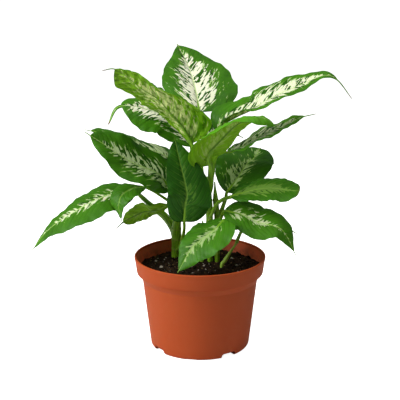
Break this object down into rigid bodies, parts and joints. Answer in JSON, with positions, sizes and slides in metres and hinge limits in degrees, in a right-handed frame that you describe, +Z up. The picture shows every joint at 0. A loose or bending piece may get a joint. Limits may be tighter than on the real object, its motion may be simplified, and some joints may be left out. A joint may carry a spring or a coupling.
{
  "type": "potted dieffenbachia",
  "caption": "Young dieffenbachia with cream-variegated leaves on green canes in a terracotta-coloured plastic pot.",
  "frame": {"origin": "middle of the pot's flat underside, on the surface that it stands on", "axes": "+Z up along the pot's axis; -Y towards the front of the plant, the side seen in the picture; +X to its right"},
  "size_m": [0.3611, 0.1957, 0.3405],
  "materials": {
    "pot": "thin injection-moulded plastic, terracotta colour, faint sheen",
    "soil": "loose dark peat potting mix with white perlite",
    "cane": "smooth fleshy green stem, satin",
    "leaf": "soft leaf, green with cream marbling, slightly glossy above and matt below"
  },
  "bodies": {
    "root": {"pot": "pot", "soil": "soil", "cane_left": "cane", "cane_centre": "cane", "cane_right": "cane", "shoot_right": "cane", "shoot_inner": "cane", "leaf_crown_back": "leaf", "leaf_upper_left": "leaf", "leaf_upper_left_rear": "leaf", "leaf_mid_left": "leaf", "leaf_mid_left_rear": "leaf", "leaf_low_left_long": "leaf", "leaf_low_left_small": "leaf", "leaf_low_left_rear": "leaf", "leaf_front_upright": "leaf", "leaf_front_drooping": "leaf", "leaf_low_right": "leaf", "leaf_low_right_rear": "leaf", "leaf_mid_right_round": "leaf", "leaf_mid_right_flat": "leaf", "leaf_upper_right_long": "leaf", "leaf_centre_bent": "leaf", "leaf_upper_right_narrow": "leaf", "leaf_inner_small": "leaf"}
  },
  "joints": []
}
